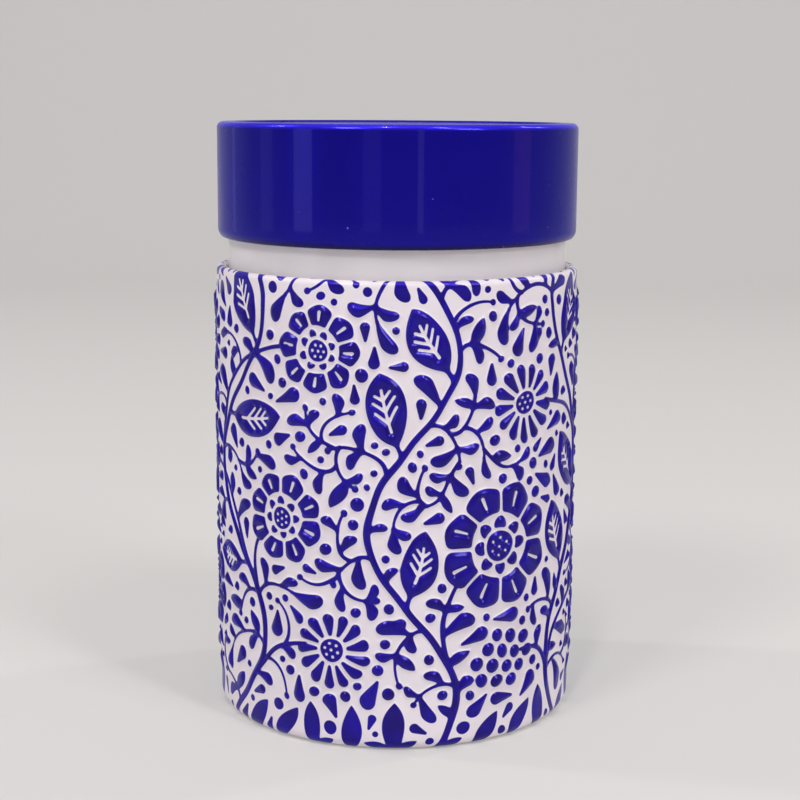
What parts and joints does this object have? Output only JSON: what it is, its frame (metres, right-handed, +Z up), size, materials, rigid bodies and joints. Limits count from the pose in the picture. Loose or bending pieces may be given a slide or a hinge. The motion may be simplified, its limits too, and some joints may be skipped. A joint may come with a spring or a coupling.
{
  "type": "tea tin",
  "caption": "Round tea tin of embossed tinplate with a plain neck ring, a deep slip lid and a friction inner lid with a knob.",
  "frame": {"origin": "middle of the ring that the tin stands on, at the standing plane", "axes": "+Z up along the tin's axis; -Y is the front, +Y is the side with the wall's lock seam"},
  "size_m": [0.0854, 0.0854, 0.1388],
  "materials": {
    "printed_tinplate": "semi-gloss cream print with raised cobalt blue ornament",
    "lacquered_tinplate": "satin clear lacquer over tinplate",
    "off_white_lacquer": "gloss off-white lacquer",
    "cobalt_lacquer": "gloss cobalt blue lacquer",
    "bare_tinplate": "satin bright tinplate",
    "turned_steel": "polished"
  },
  "bodies": {
    "tin": {"body_wall": "printed_tinplate", "base_end": "lacquered_tinplate", "neck_collar": "off_white_lacquer"},
    "plug": {"inner_lid": "bare_tinplate", "inner_lid_knob": "turned_steel", "knob_rivet": "turned_steel"},
    "cover": {"lid_shell": "cobalt_lacquer"}
  },
  "joints": [
    {"name": "inner_lid_lift", "type": "slide", "parent": "tin", "child": "plug", "axis": [0, 0, 1], "range_m": [0, 0.03]},
    {"name": "lid_lift", "type": "slide", "parent": "plug", "child": "cover", "axis": [0, 0, 1], "range_m": [0, 0.05]}
  ]
}
